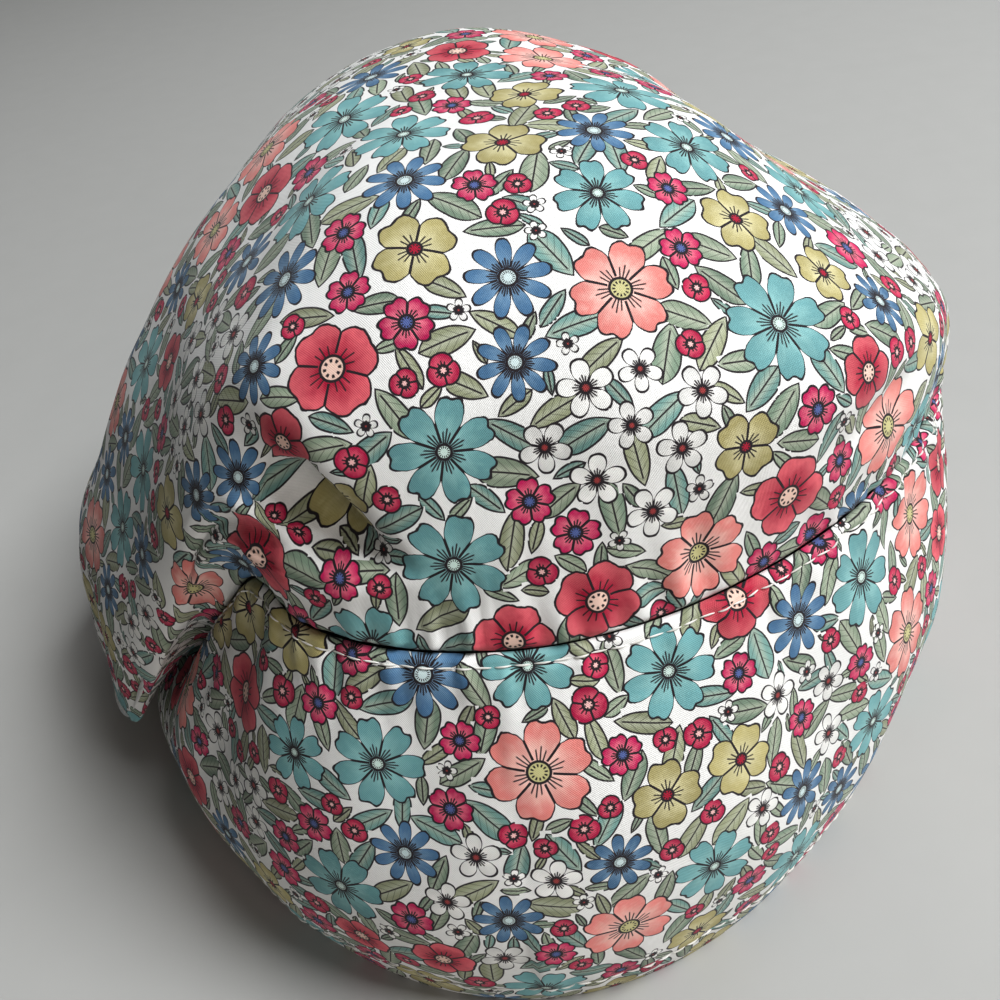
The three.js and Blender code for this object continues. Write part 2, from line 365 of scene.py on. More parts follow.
BLOSSOMS = {
    Blossom.JASMINE: Bloom((3.5, 4.6), 0.075, 5, 0.62, 0.0, 0.17,
                           (0.86, 0.85, 0.82), (0.88, 0.86, 0.83), (0.34, 0.05, 0.05), in_beds=True),
    Blossom.MALLOW: Bloom((7.0, 9.6), 0.110, 6, 0.36, 0.10, 0.20,
                          (0.84, 0.28, 0.25), (0.92, 0.60, 0.53), (0.60, 0.56, 0.28)),
    Blossom.PRIMROSE: Bloom((7.0, 9.6), 0.140, 7, 0.50, 0.10, 0.13,
                            (0.180, 0.40, 0.415), (0.30, 0.54, 0.53), (0.62, 0.76, 0.70)),
    Blossom.DOGWOOD: Bloom((5.8, 7.6), 0.085, 4, 0.40, 0.14, 0.15,
                           (0.48, 0.42, 0.19), (0.70, 0.65, 0.40), (0.40, 0.01, 0.04)),
    Blossom.POPPY: Bloom((6.0, 8.6), 0.085, 4, 0.26, 0.08, 0.25,
                         (0.74, 0.14, 0.17), (0.40, 0.004, 0.04), (0.88, 0.62, 0.52)),
    Blossom.ASTER: Bloom((5.8, 8.0), 0.12, 9, 0.60, 0.0, 0.20,
                         (0.080, 0.180, 0.315), (0.21, 0.34, 0.48), (0.62, 0.74, 0.74)),
    Blossom.PINK: Bloom((3.7, 5.2), 0.15, 5, 0.30, 0.12, 0.24,
                        (0.54, 0.012, 0.110), (0.86, 0.24, 0.31), (0.10, 0.14, 0.34)),
    Blossom.BERRY: Bloom((2.2, 3.4), 0.09, 3, 0.18, 0.0, 0.26,
                         (0.46, 0.008, 0.07), (0.74, 0.14, 0.20), (0.86, 0.52, 0.50)),
    Blossom.BUD: Bloom((1.8, 2.6), 0.03, 5, 0.60, 0.0, 0.20,
                       (0.84, 0.83, 0.80), (0.88, 0.86, 0.83), (0.34, 0.05, 0.05)),
}
LEAF_TINTS: tuple[Colour, ...] = ((0.28, 0.34, 0.25), (0.20, 0.27, 0.20), (0.32, 0.34, 0.22), (0.18, 0.32, 0.29))


@dataclass
class Motifs:
    """Flowers or leaves laid over a cloth: where each stands in the flat cloth, and how it is turned and drawn."""

    centre: Array
    turn: Array
    extra: dict[str, Array]
    slim: Array
    search: float = 38.0
    block: int = 1200

    def nearest(self, flat: Array, wrap: float) -> tuple[Array, Array]:
        """Which motif covers each place, and how far along the cloth its centre has to shift.

        Formula: the least length of the turned and scaled step from the centre, with the step across a slim
        leaf stretched by its slimness. A cloth that meets itself has a copy of each motif a turn either side.

        Args:
            flat: Places in the flat cloth, shape (n, 2).
            wrap: Length after which the cloth meets itself, or 0.

        Returns:
            The motif's number and the shift, for each place.
        """
        shifts = np.array([0.0, wrap, -wrap]) if wrap else np.zeros(1)
        centre = np.concatenate([self.centre + [shift, 0.0] for shift in shifts])
        count = len(self.centre)
        which, shift = np.zeros(len(flat), int), np.zeros(len(flat))
        for start in range(0, len(flat), self.block):
            part = flat[start:start + self.block]
            low, high = part.min(axis=0) - self.search, part.max(axis=0) + self.search
            near = np.flatnonzero(((centre > low) & (centre < high)).all(axis=1))
            step = part[:, None, :] - centre[near][None]
            turn, slim = self.turn[near % count], self.slim[near % count]
            x = step[..., 0] * turn[:, 0] + step[..., 1] * turn[:, 1]
            y = (step[..., 0] * turn[:, 2] + step[..., 1] * turn[:, 3]) * slim
            best = near[np.argmin(x * x + y * y, axis=1)]
            which[start:start + self.block] = best % count
            shift[start:start + self.block] = shifts[best // count]
        return which, shift


@dataclass(frozen=True)
class PrintLayout:
    """Lays the flowers and leaves over one cloth, larger ones first, so that none overlaps another."""

    gap: float = 0.30
    tries: int = 16000
    tone: tuple[float, float] = (0.84, 1.12)
    beds: int = 12
    bed_tries: int = 4000
    bed_reach: float = 13.0
    bed_spacing: float = 52.0
    leaf_tries: int = 40000
    leaf_half: tuple[float, float] = (2.0, 5.2)
    leaf_width: tuple[float, float] = (0.36, 0.50)
    leaf_lean: float = 0.7
    leaf_tuck: float = 1.6
    leaf_gap: float = 0.22
    leaf_tone: tuple[float, float] = (0.85, 1.25)
    disc_place: float = 0.55
    disc_size: float = 0.62
    far: float = 1e6

    def lay(self, cloth: "Cloth", seed: int) -> tuple[Motifs, Motifs]:
        """Lay out one cloth.

        Args:
            cloth: The cloth, whose grid is already worked out.
            seed: Seed of the search.

        Returns:
            The flowers and the leaves.
        """
        rng = np.random.default_rng(seed)
        patches = cloth.patches()
        chance = patches.area / patches.area.sum()
        bed = self.near_beds(rng, patches.middle, chance)
        taken = np.full((1, 4), self.far)
        spots: list[int] = []
        kinds: list[Blossom] = []
        for kind, bloom in BLOSSOMS.items():
            odds = chance * bed if bloom.in_beds else chance
            left = bloom.share * patches.area.sum()
            tops = rng.uniform(sum(bloom.radius) / 2, bloom.radius[1], self.tries)
            for pick, top in zip(rng.choice(len(odds), self.tries, p=odds / odds.sum()), tops):
                place = patches.middle[pick]
                room = np.min(np.linalg.norm(taken[:, :3] - place, axis=1) - taken[:, 3]) - self.gap
                size = min(room, top)
                if size >= bloom.radius[0] and left > 0:
                    taken = np.vstack([taken, [*place, size]])
                    spots.append(int(pick))
                    kinds.append(kind)
                    left -= math.pi * size**2
        return self.flowers(patches, rng, np.array(spots), taken[1:, 3], kinds), \
            self.leaves(patches, rng, chance, taken[1:])

    def near_beds(self, rng: np.random.Generator, middle: Array, chance: Array) -> Array:
        """1 for the facets that lie in one of the beds of small white flowers, and 0 for the others."""
        found: list[Array] = []
        for pick in rng.choice(len(chance), self.bed_tries, p=chance):
            if len(found) < self.beds and all(np.linalg.norm(middle[pick] - f) > self.bed_spacing for f in found):
                found.append(middle[pick])
        apart = np.stack([np.linalg.norm(middle - f, axis=1) for f in found])
        return (apart.min(axis=0) < self.bed_reach).astype(float)

    @staticmethod
    def turned(metric: Array, angle: Array, size: Array) -> Array:
        """The step from a motif's centre, made true to length, turned and divided by the motif's size."""
        c, s = np.cos(angle) / size, np.sin(angle) / size
        m = metric
        return np.stack([c * m[:, 0] + s * m[:, 1], c * m[:, 1] + s * m[:, 2],
                         c * m[:, 1] - s * m[:, 0], c * m[:, 2] - s * m[:, 1]], axis=1)

    def flowers(self, patches: "Patches", rng: np.random.Generator, spots: Array, radii: Array,
                kinds: Sequence[Blossom]) -> Motifs:
        """Make the flowers' rows from their places, sizes and kinds."""
        blooms = [BLOSSOMS[kind] for kind in kinds]
        angle = rng.uniform(0, math.tau, len(spots))
        tone = rng.uniform(*self.tone, (len(spots), 1))
        centre = patches.flat[spots]
        place = np.column_stack([centre, [b.petals for b in blooms], radii])
        petal = np.column_stack([np.array([b.petal for b in blooms]) * tone, [b.depth for b in blooms]])
        throat = np.column_stack([np.array([b.throat for b in blooms]), [b.notch for b in blooms]])
        heart = np.column_stack([np.array([b.centre for b in blooms]), [b.heart for b in blooms]])
        return Motifs(centre, self.turned(patches.metric[spots], angle, radii),
                      {"bloom_place": place, "bloom_petal": petal, "bloom_throat": throat, "bloom_heart": heart},
                      np.ones(len(spots)))

    def leaves(self, patches: "Patches", rng: np.random.Generator, chance: Array, blooms: Array) -> Motifs:
        """Tuck leaves in between the flowers, each pointing away from the nearest one.

        Formula: a leaf is kept where three discs along it, the outer two smaller, stay clear of the leaves
        laid before and of the flowers; the disc at its foot may lie under its flower.
        """
        along = np.array([-self.disc_place, 0.0, self.disc_place])
        found: list[int] = []
        rows: list[tuple[float, float, float]] = []
        taken = np.full((1, 4), self.far)
        picks = rng.choice(len(chance), self.leaf_tries, p=chance)
        halves = np.sort(rng.uniform(*self.leaf_half, self.leaf_tries))[::-1]
        widths = rng.uniform(*self.leaf_width, self.leaf_tries)
        leans = rng.normal(0, self.leaf_lean, self.leaf_tries)
        for pick, half, width, lean in zip(picks, halves, widths, leans):
            place = patches.middle[pick]
            clear = np.linalg.norm(blooms[:, :3] - place, axis=1) - blooms[:, 3]
            near = int(np.argmin(clear))
            if not 0 < clear[near] - half * width + self.leaf_tuck < half:
                continue
            axis = patches.tangent(pick, place - blooms[near, :3], lean)
            discs = place + axis * (along * half)[:, None]
            sizes = half * width * np.array([self.disc_size, 1.0, self.disc_size])
            apart = np.linalg.norm(taken[:, None, :3] - discs, axis=2) - taken[:, 3:] - sizes
            over = np.linalg.norm(blooms[:, None, :3] - discs, axis=2) - blooms[:, 3:] - sizes
            if apart.min() > self.leaf_gap and over[:, 1:].min() > -self.leaf_tuck:
                taken = np.vstack([taken, np.column_stack([discs, sizes])])
                found.append(int(pick))
                rows.append((patches.bearing(pick, axis), half, width))
        angle, size, width = np.array(rows).T
        centre = patches.flat[found]
        tints = np.array(LEAF_TINTS)[rng.integers(0, len(LEAF_TINTS), len(found))]
        tints = tints * rng.uniform(*self.leaf_tone, (len(found), 1))
        return Motifs(centre, self.turned(patches.metric[found], angle, size),
                      {"leaf_place": np.column_stack([centre, width, size]),
                       "leaf_tint": np.column_stack([tints, np.ones(len(found))])}, 1 / width)


@dataclass(frozen=True)
class Patches:
    """The facets of a cloth's outer face, as the print sees them.

    middle is where each lies on the cap and flat where it lies on the flat cloth; carry takes a flat step to
    the cap, and metric makes a flat step true to length.
    """

    middle: Array
    flat: Array
    area: Array
    carry: Array
    metric: Array

    def tangent(self, number: int, step: Array, lean: float) -> Array:
        """A step made to lie in a facet, turned by an angle within it, with a length of 1."""
        first, second = self.carry[number].T
        normal = np.cross(first, second)
        normal /= np.linalg.norm(normal)
        along = step - normal * (step @ normal)
        along /= max(np.linalg.norm(along), TINY)
        return along * math.cos(lean) + np.cross(normal, along) * math.sin(lean)

    def bearing(self, number: int, axis: Array) -> float:
        """The angle of a direction on the cap within a facet's true-length plane."""
        a, b, c = self.metric[number]
        x, y = np.linalg.solve(np.array([[a, b], [b, c]]), self.carry[number].T @ axis)
        return math.atan2(y, x)


class Wire:
    """A shader socket that takes part in Python arithmetic; each operation adds a Math node."""

    def __init__(self, tree: bpy.types.NodeTree, socket: bpy.types.NodeSocket) -> None:
        """Keep the socket and the tree that it is in."""
        self.tree = tree
        self.socket = socket

    def math(self, operation: str, *others: Union["Wire", float], clamp: bool = False) -> "Wire":
        """Add a Math node fed by this socket and the others.

        Args:
            operation: The node's operation.
            others: Its further inputs.
            clamp: Whether the result is kept between 0 and 1.

        Returns:
            The node's result.
        """
        node = self.tree.nodes.new("ShaderNodeMath")
        node.operation = operation
        node.use_clamp = clamp
        for socket, value in zip(node.inputs, (self, *others)):
            plug(self.tree, socket, value)
        return Wire(self.tree, node.outputs[0])

    def __add__(self, other: Union["Wire", float]) -> "Wire":
        """Sum."""
        return self.math("ADD", other)

    __radd__ = __add__

    def __sub__(self, other: Union["Wire", float]) -> "Wire":
        """Difference."""
        return self.math("SUBTRACT", other)

    def __rsub__(self, other: float) -> "Wire":
        """Difference with this socket taken away."""
        return (self * -1.0) + other

    def __mul__(self, other: Union["Wire", float]) -> "Wire":
        """Product."""
        return self.math("MULTIPLY", other)

    __rmul__ = __mul__

    def __truediv__(self, other: Union["Wire", float]) -> "Wire":
        """Quotient."""
        return self.math("DIVIDE", other)

    def __rtruediv__(self, other: float) -> "Wire":
        """Quotient with this socket below."""
        return self.math("POWER", -1.0) * other

    def __pow__(self, other: Union["Wire", float]) -> "Wire":
        """Power."""
        return self.math("POWER", other)

    def __abs__(self) -> "Wire":
        """Size without sign."""
        return self.math("ABSOLUTE")

    def below(self, limit: Union["Wire", float], soft: float) -> "Wire":
        """A mask that is 1 under the limit and 0 above it, with a ramp of the given width."""
        return ((limit - self) / soft + 0.5).math("ADD", 0.0, clamp=True)

    def least(self, other: Union["Wire", float]) -> "Wire":
        """The smaller of two."""
        return self.math("MINIMUM", other)

    def most(self, other: Union["Wire", float]) -> "Wire":
        """The larger of two."""
        return self.math("MAXIMUM", other)


def plug(tree: bpy.types.NodeTree, socket: bpy.types.NodeSocket, value: object) -> None:
    """Link a wire to a socket, or set the socket's own value."""
    if isinstance(value, Wire):
        tree.links.new(value.socket, socket)
    elif isinstance(value, (tuple, list)) and len(value) == 3 and socket.type == "RGBA":
        socket.default_value = (*value, 1.0)
    else:
        socket.default_value = value


class Shader:
    """A material under construction: every node but Math comes from its node method."""

    def __init__(self, name: str) -> None:
        """Start an empty material of this name."""
        self.material = bpy.data.materials.new(name)
        self.material.use_nodes = True
        self.tree = self.material.node_tree
        self.tree.nodes.clear()

    def node(self, kind: str, settings: dict[str, object], inputs: dict[Union[int, str], object],
             output: Union[int, str] = 0) -> Wire:
        """Add a node.

        Args:
            kind: The node's type.
            settings: Its own settings, set first.
            inputs: The values or wires of its sockets, by name or number.
            output: Which result to return.

        Returns:
            That result.
        """
        node = self.tree.nodes.new(kind)
        for key, value in settings.items():
            setattr(node, key, value)
        for key, value in inputs.items():
            plug(self.tree, node.inputs[key], value)
        return Wire(self.tree, node.outputs[output])

    def mix(self, share: Union[Wire, float], first: Union[Wire, Colour], second: Union[Wire, Colour]) -> Wire:
        """Mix two colours by a share of the second."""
        return self.node("ShaderNodeMix", {"data_type": "RGBA"}, {0: share, 6: first, 7: second}, 2)

    def tinted(self, colour: Wire, amount: Wire) -> Wire:
        """Scale a colour by a number."""
        return self.node("ShaderNodeVectorMath", {"operation": "SCALE"}, {0: colour, "Scale": amount})

    def channels(self, name: str) -> tuple[Wire, Wire, Wire, Wire]:
        """The four numbers of a face attribute."""
        node = self.tree.nodes.new("ShaderNodeAttribute")
        node.attribute_name = name
        colour = Wire(self.tree, node.outputs["Color"])
        split = self.tree.nodes.new("ShaderNodeSeparateXYZ")
        plug(self.tree, split.inputs[0], colour)
        return (*(Wire(self.tree, out) for out in split.outputs), Wire(self.tree, node.outputs["Alpha"]))

    def attribute(self, name: str, output: str) -> Wire:
        """One result of a face attribute."""
        return self.node("ShaderNodeAttribute", {"attribute_name": name}, {}, output)

    def noise(self, vector: Wire, scale: float, detail: float) -> Wire:
        """Soft noise between 0 and 1."""
        return self.node("ShaderNodeTexNoise", {}, {"Vector": vector, "Scale": scale, "Detail": detail}, 0)

    def finish(self, colour: Union[Wire, Colour], roughness: Union[Wire, float], height: Wire, rise: float,
               sheen: float) -> bpy.types.Material:
        """Close the material with a cloth's shader and its bump.

        Args:
            colour: Base colour.
            roughness: Roughness.
            height: Height for the bump, about between 0 and 1.
            rise: Metres that a height of 1 stands up.
            sheen: Weight of the soft sheen.

        Returns:
            The material.
        """
        bump = self.node("ShaderNodeBump", {}, {"Strength": 1.0, "Distance": rise, "Height": height})
        shader = self.node("ShaderNodeBsdfPrincipled", {}, {
            "Base Color": colour, "Roughness": roughness, "Normal": bump, "Sheen Weight": sheen,
            "Sheen Roughness": 0.5, "Specular IOR Level": 0.3})
        output = self.tree.nodes.new("ShaderNodeOutputMaterial")
        plug(self.tree, output.inputs["Surface"], shader)
        return self.material


@dataclass(frozen=True)
class PrintedCotton:
    """White plain weave cotton, printed with outlined flowers and leaves, and paler on its wrong side.

    Lines and their soft edges are in millimetres: line outlines a motif and wanders by line_wander, rib_line
    draws a leaf's midrib, vein_line a petal's veins and heart_line the ring round a flower's heart. thread is
    the width of two threads of the weave, whose gaps are darkened as painted shade, and show_through how much of
    the print shows on the wrong side.
    """

    ground: Colour = (0.86, 0.85, 0.83)
    ink: Colour = (0.022, 0.016, 0.020)
    line: float = 0.31
    line_wander: float = 0.16
    line_soft: float = 0.12
    fill_soft: float = 0.10
    rib_line: float = 0.14
    rib_end: float = 0.72
    vein_line: float = 0.12
    vein_length: float = 0.28
    heart_line: float = 0.22
    leaf_light: Colour = (0.60, 0.62, 0.50)
    leaf_light_share: float = 0.45
    leaf_taper: float = 0.22
    leaf_veins: float = 3.2
    leaf_vein_lean: float = 1.2
    leaf_vein_ink: float = 0.45
    petal_curve: float = 2.4
    petal_wobble: float = 0.10
    petal_shade: float = 0.10
    rim_shade: float = 0.12
    blush_reach: float = 0.55
    blush_patches: float = 1.2
    notch_width: float = 14.0
    thread: float = 0.42
    painted_weave_shade: float = 0.05
    slub_shade: float = 0.08
    show_through: float = 0.20
    rise: float = 0.00010
    roughness: float = 0.74
    sheen: float = 0.12

    def build(self, name: str) -> bpy.types.Material:
        """Build the material.

        Args:
            name: The material's name.

        Returns:
            The material.
        """
        sh = Shader(name)
        flat = sh.node("ShaderNodeUVMap", {"uv_map": "flat"}, {})
        flat = sh.node("ShaderNodeVectorMath", {"operation": "SCALE"}, {0: flat, "Scale": FLAT_UNIT})
        wander = sh.noise(flat, 0.5, 2.0)
        u, v = self.split(sh, flat)
        colour = self.leaf_layer(sh, u, v, wander)
        colour = self.bloom_layer(sh, u, v, wander, colour)
        warp = (u * (math.tau / self.thread)).math("SINE")
        weft = (v * (math.tau / self.thread)).math("SINE")
        weave = warp * weft * 0.5 + 0.5
        slub = sh.noise(flat, 0.9, 3.0)
        # The weave term paints shade into the gaps between the threads, where the bump also sinks them; the slub
        # noise is the yarn's own uneven tone.
        colour = sh.tinted(colour, weave * self.painted_weave_shade + slub * self.slub_shade + 0.90)
        inside = sh.attribute("wrong_side", "Fac")
        ghost = sh.mix(self.show_through, self.ground, colour)
        colour = sh.mix(inside, colour, ghost)
        height = weave * 0.6 + sh.noise(flat, 0.16, 3.0) * 2.0 + slub * 0.5
        return sh.finish(colour, slub * 0.12 + self.roughness, height, self.rise, self.sheen)

    def split(self, sh: Shader, vector: Wire) -> tuple[Wire, Wire]:
        """The first two numbers of a vector."""
        node = sh.node("ShaderNodeSeparateXYZ", {}, {0: vector})
        return node, Wire(sh.tree, node.socket.node.outputs[1])

    def local(self, sh: Shader, u: Wire, v: Wire, place: str, turn: str) -> tuple[Wire, Wire, Wire, Wire]:
        """A motif's own coordinates, where 1 is its size, with its third number and its size in millimetres."""
        centre_u, centre_v, third, size = sh.channels(place)
        a, b, c, d = sh.channels(turn)
        du, dv = u - centre_u, v - centre_v
        return du * a + dv * b, du * c + dv * d, third, size

    def leaf_layer(self, sh: Shader, u: Wire, v: Wire, wander: Wire) -> Wire:
        """Draw the leaves on the white ground.

        Formula: a leaf is where the distance from its midrib is under its half width, which falls with the
        2.6th power of the distance from the middle and is a little fuller towards the stalk.
        """
        x, y, width, size = self.local(sh, u, v, "leaf_place", "leaf_turn")
        tint = sh.attribute("leaf_tint", "Color")
        side = abs(y)
        reach = (1.0 - (x * x) ** 1.3) * width * (1.0 - x * self.leaf_taper)
        room = (reach - side) * size
        line = wander * self.line_wander + (self.line - self.line_wander / 2)
        body = room.below(0.0, self.fill_soft) * -1.0 + 1.0
        edge = room.below(line, self.line_soft)
        rib = (side * size).below(self.rib_line, self.line_soft) * x.below(self.rib_end, 0.05)
        vein = abs(((x + side * self.leaf_vein_lean) * self.leaf_veins).math("FRACT") - 0.5)
        vein = vein.below(0.07, 0.06) * self.leaf_vein_ink
        pale = sh.mix(side.below(width * 0.35, 0.2) * self.leaf_light_share, tint, self.leaf_light)
        green = sh.mix(rib.most(vein), pale, self.ink)
        drawn = sh.mix(edge, green, self.ink)
        return sh.mix(body, self.ground, drawn)

    def bloom_layer(self, sh: Shader, u: Wire, v: Wire, wander: Wire, under: Wire) -> Wire:
        """Draw the flowers over the leaves.

        Formula: round its heart a flower's outline is 1 less its depth times a power of the distance from the
        petal's middle, less a bell-shaped notch at the middle. Lines follow the outline, the sides between
        petals and the heart, and three short veins run out of the heart in each petal.
        """
        x, y, petals, size = self.local(sh, u, v, "bloom_place", "bloom_turn")
        petal, depth = sh.attribute("bloom_petal", "Color"), sh.attribute("bloom_petal", "Alpha")
        throat, notch = sh.attribute("bloom_throat", "Color"), sh.attribute("bloom_throat", "Alpha")
        centre, heart = sh.attribute("bloom_heart", "Color"), sh.attribute("bloom_heart", "Alpha")
        r = (x * x + y * y) ** 0.5
        turn = y.math("ARCTAN2", x) * petals / math.tau
        off = (turn.math("FRACT") - 0.5) * 2.0
        aside = abs(off)
        wobble = (wander - 0.5) * self.petal_wobble
        dip = notch * (aside * aside * -self.notch_width).math("EXPONENT")
        outline = 1.0 - depth * aside ** self.petal_curve - dip + wobble
        room = (outline - r) * size
        across = r * size / petals * math.pi
        line = (size * 0.05 + 0.10).least(self.line) + wander * self.line_wander
        body = 1.0 - room.below(0.0, self.fill_soft)
        outside_heart = 1.0 - r.below(heart, 0.02)
        side = (1.0 - aside) * across * 1.9 + r.below(heart * 1.15, 0.02) * 9.0
        edge = room.least(side).below(line, self.line_soft)
        vein = (abs(aside - 0.42) * across).least(aside * across).below(self.vein_line, self.line_soft)
        vein = vein * r.below(heart + self.vein_length - aside * 0.15, 0.03) * outside_heart
        tone = sh.noise(sh.node("ShaderNodeCombineXYZ", {}, {0: turn * 3.0, 1: r * 2.2, 2: size}), 1.3, 2.0)
        blush = (r - heart) / self.blush_reach + (tone - 0.5) * self.blush_patches
        fill = sh.mix(blush.math("ADD", 0.0, clamp=True), throat, petal)
        fill = sh.mix((tone - 0.56).math("MULTIPLY", 2.4, clamp=True) * 0.6, fill, throat)
        fill = sh.tinted(fill, 1.0 + off * self.petal_shade - (1.0 - r).below(0.0, 0.5) * self.rim_shade)
        fill = sh.mix(vein, fill, self.ink)
        rim = abs((r - heart) * size).below(self.heart_line, self.line_soft)
        dots = abs((turn * 2.0).math("FRACT") - 0.5).below(0.24, 0.1)
        dots = dots * abs(r / heart - 0.62).below(0.14, 0.1)
        middle = sh.mix(dots, centre, self.ink)
        fill = sh.mix(r.below(heart, 0.03), fill, middle)
        fill = sh.mix(rim, fill, self.ink)
        fill = sh.mix(edge * outside_heart, fill, self.ink)
        return sh.mix(body, under, fill)


@dataclass(frozen=True)
class CottonThread:
    """Off-white sewing thread with a light twist."""

    colour: Colour = (0.84, 0.82, 0.78)
    dark: Colour = (0.62, 0.60, 0.56)
    twist: float = 0.5
    roughness: float = 0.6
    rise: float = 0.00004
    sheen: float = 0.2

    def build(self, name: str) -> bpy.types.Material:
        """Build the material from bands that run slantwise over Object coordinates; the darker bands are painted
        shade in the grooves of the twist.
        """
        sh = Shader(name)
        place = sh.node("ShaderNodeTexCoord", {}, {}, "Object")
        wave = sh.node("ShaderNodeTexWave", {"bands_direction": "DIAGONAL"},
                       {"Vector": place, "Scale": 1.0 / (self.twist * MM * 20), "Distortion": 1.0}, 1)
        # The darker bands are painted shade in the grooves between the twist's plies.
        shade = sh.mix(wave, self.dark, self.colour)
        return sh.finish(shade, self.roughness, wave, self.rise, self.sheen)


@dataclass(frozen=True)
class MattFloor:
    """Pale matt paint with a faint grain."""

    dark: Colour = (0.42, 0.415, 0.40)
    light: Colour = (0.44, 0.435, 0.42)
    grain: float = 60.0
    roughness: float = 0.85
    rise: float = 0.0001

    def build(self, name: str) -> bpy.types.Material:
        """Build the material from soft noise over Object coordinates."""
        sh = Shader(name)
        grain = sh.noise(sh.node("ShaderNodeTexCoord", {}, {}, "Object"), self.grain, 3.0)
        return sh.finish(sh.mix(grain, self.dark, self.light), self.roughness, grain, self.rise, 0.0)


@dataclass
class Cloth:
    """One sewn cloth of the cap: a fine outer face, a plain inner face, and the edges that join them.

    columns and rows are how many facets the outer face has round and up, and wall is the cloth's thickness.
    The creases are pressed into the main form and the fine ones into its surface. pucker_start and calm are
    the distances from the seam over which the puckers and the waves come up.
    """

    form: CapForm
    name: str
    node: str
    slot: str
    creases: tuple[Crease, ...]
    fine_creases: tuple[Crease, ...]
    puckers: tuple[Ripple, ...]
    waves: tuple[Ripple, ...]
    rows: int
    fine_rows: tuple[float, ...]
    calm: float
    pucker_start: float = 1.5
    columns: int = 520
    wall: float = 0.8
    wrap: float = 0.0

    def __post_init__(self) -> None:
        """Work out both faces."""
        self.degrees = np.linspace(0, 360, self.columns, endpoint=False)
        self.climbs = self.row_climbs()
        grid = np.meshgrid(self.degrees, self.climbs, indexing="ij")
        self.plain = self.main_form(*grid)
        self.flat = self.flatten(self.plain, grid[0])
        self.pressed = self.plain - across(self.plain) * self.form.press(self.creases, *grid)[..., None]
        height = self.relief(grid[0]) - self.form.press(self.fine_creases, *grid)
        self.outer = relax(self.pressed + across(self.pressed) * height[..., None])
        self.normal = across(self.outer)
        self.inner_columns = self.columns // 2
        self.inner = (self.outer - self.normal * self.thickness()[..., None])[::2]

    def main_form(self, degrees: Array, climb: Array) -> Array:
        """The cloth's main form."""
        raise NotImplementedError

    def relief(self, degrees: Array) -> Array:
        """Height of puckers and soft waves over the main form, in millimetres."""
        raise NotImplementedError

    def thickness(self) -> Array:
        """Thickness of the cloth at each place, in millimetres."""
        raise NotImplementedError

    def flatten(self, points: Array, degrees: Array) -> Array:
        """Flat coordinates of the cloth's grid, with one more column than the grid, in millimetres."""
        raise NotImplementedError

    def row_climbs(self) -> Array:
        """Climbs of the rows: evenly far apart on average, with the finer ones put in.

        Formula: the average length up the cloth, read backwards at even steps.
        """
        dense = np.linspace(0, 1, 1200)
        degrees = np.arange(0.0, 360.0, 15.0)
        points = self.main_form(*np.meshgrid(degrees, dense, indexing="ij"))
        length = run_length(points, 1).mean(axis=0)
        even = np.interp(np.linspace(0, length[-1], self.rows + 1), length, dense)
        return np.unique(np.round(np.concatenate([even, self.fine_rows]), 6))

    def patches(self) -> Patches:
        """The outer face's facets for the print.

        Formula: carry is the facet's two edge steps on the cap times the inverse of its two edge steps on the
        flat cloth, and metric is the square root of carry's square.
        """
        ring = np.concatenate([self.plain, self.plain[:1]])
        a, b, c, d = ring[:-1, :-1], ring[1:, :-1], ring[1:, 1:], ring[:-1, 1:]
        fa, fb, fc, fd = self.flat[:-1, :-1], self.flat[1:, :-1], self.flat[1:, 1:], self.flat[:-1, 1:]
        edge = np.stack([(b - a + c - d) / 2, (d - a + c - b) / 2], axis=-1).reshape(-1, 3, 2)
        plan = np.stack([(fb - fa + fc - fd) / 2, (fd - fa + fc - fb) / 2], axis=-1).reshape(-1, 2, 2)
        area = np.linalg.norm(np.cross(edge[..., 0], edge[..., 1]), axis=-1)
        carry = edge @ np.linalg.inv(plan + np.eye(2) * TINY)
        g = np.swapaxes(carry, 1, 2) @ carry
        root = np.sqrt(np.maximum(np.linalg.det(g), TINY))
        scale = np.sqrt(g[:, 0, 0] + g[:, 1, 1] + 2 * root)
        metric = np.stack([g[:, 0, 0] + root, g[:, 0, 1], g[:, 1, 1] + root], axis=1) / scale[:, None]
        return Patches(((a + b + c + d) / 4).reshape(-1, 3), ((fa + fb + fc + fd) / 4).reshape(-1, 2), area,
                       carry, metric)

    def build(self, shift: Array, material: bpy.types.Material, seed: int) -> bpy.types.Object:
        """Make the cloth's mesh, lay its print and hand it to the frame.

        Args:
            shift: From the cap's own middle to the frame's, in millimetres.
            material: The cloth's material.
            seed: Seed of the print.

        Returns:
            The finished object.
        """
        points, faces, flats, wrong = self.weld()
        mesh = bpy.data.meshes.new(self.name)
        mesh.from_pydata((points + shift) * MM, [], faces)
        mesh.update()
        flowers, leaves = PrintLayout().lay(self, seed)
        corner = np.concatenate(flats)
        layer = mesh.uv_layers.new(name="flat")
        layer.data.foreach_set("uv", (corner / FLAT_UNIT).astype(np.float32).ravel())
        middle = np.array([flat.mean(axis=0) for flat in flats])
        for motifs, place in ((flowers, "bloom"), (leaves, "leaf")):
            which, turns = motifs.nearest(middle, self.wrap)
            for name, rows in {**motifs.extra, f"{place}_turn": motifs.turn}.items():
                values = rows[which].astype(np.float32)
                if name == f"{place}_place":
                    values[:, 0] += turns
                data = mesh.attributes.new(name, "FLOAT_COLOR", "FACE").data
                data.foreach_set("color", values.ravel())
        mesh.attributes.new("wrong_side", "FLOAT", "FACE").data.foreach_set("value", wrong.astype(np.float32))
        mesh.polygons.foreach_set("use_smooth", np.ones(len(faces), bool))
        mesh.materials.append(material)
        piece = bpy.data.objects.new(self.name, mesh)
        bpy.context.scene.collection.objects.link(piece)
        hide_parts(self.node)
        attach(piece, "root")
        LOG.info("%s: %d faces, %d flowers, %d leaves", self.name, len(faces), len(flowers.centre),
                 len(leaves.centre))
        return piece

